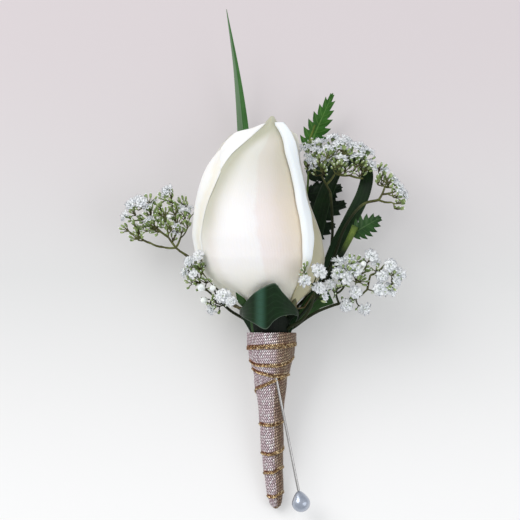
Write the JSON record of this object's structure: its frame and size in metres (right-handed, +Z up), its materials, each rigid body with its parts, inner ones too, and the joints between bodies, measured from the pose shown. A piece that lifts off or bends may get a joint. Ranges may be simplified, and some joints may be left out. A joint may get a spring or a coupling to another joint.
{
  "type": "boutonniere",
  "caption": "Rose bud boutonniere: closed cream bud, baby's breath, fern and looped grass leaves, stems wound in mesh ribbon, pearl-headed pin; lies on its back.",
  "frame": {"origin": "middle of the flat place on the underside of the grass blade, where the flower rests on the table", "axes": "+Y along the stem from the ribbon tip towards the bud's tip, +Z up from the table towards the face of the flower"},
  "size_m": [0.0995, 0.1693, 0.0382],
  "materials": {
    "petal": "soft, slightly translucent",
    "leaf": "semi-gloss",
    "stem": "fresh green, satin",
    "babys_breath": "matt",
    "ribbon": "metallic mesh with copper edges",
    "steel": "polished",
    "pearl": "pearlescent"
  },
  "bodies": {
    "root": {"rose_petal_front": "petal", "rose_petal_right": "petal", "rose_petal_left_inner": "petal", "rose_petal_left_outer": "petal", "rose_petal_back": "petal", "rose_petal_inner": "petal", "rose_heart": "petal", "rose_stem_with_calyx": "stem", "grass_blade": "leaf", "leaf_loop_back": "leaf", "leaf_loop_front": "leaf", "leaf_tip_left": "leaf", "leaf_cut_end_right": "leaf", "fern_frond_back": "leaf", "fern_piece_right": "leaf", "babys_breath_left": "babys_breath", "babys_breath_lower_left": "babys_breath", "babys_breath_upper_right": "babys_breath", "babys_breath_right": "babys_breath", "babys_breath_lower_right": "babys_breath", "babys_breath_front_right": "babys_breath", "ribbon_wrap": "ribbon", "pin_shaft": "steel", "pin_pearl_head": "pearl"}
  },
  "joints": []
}
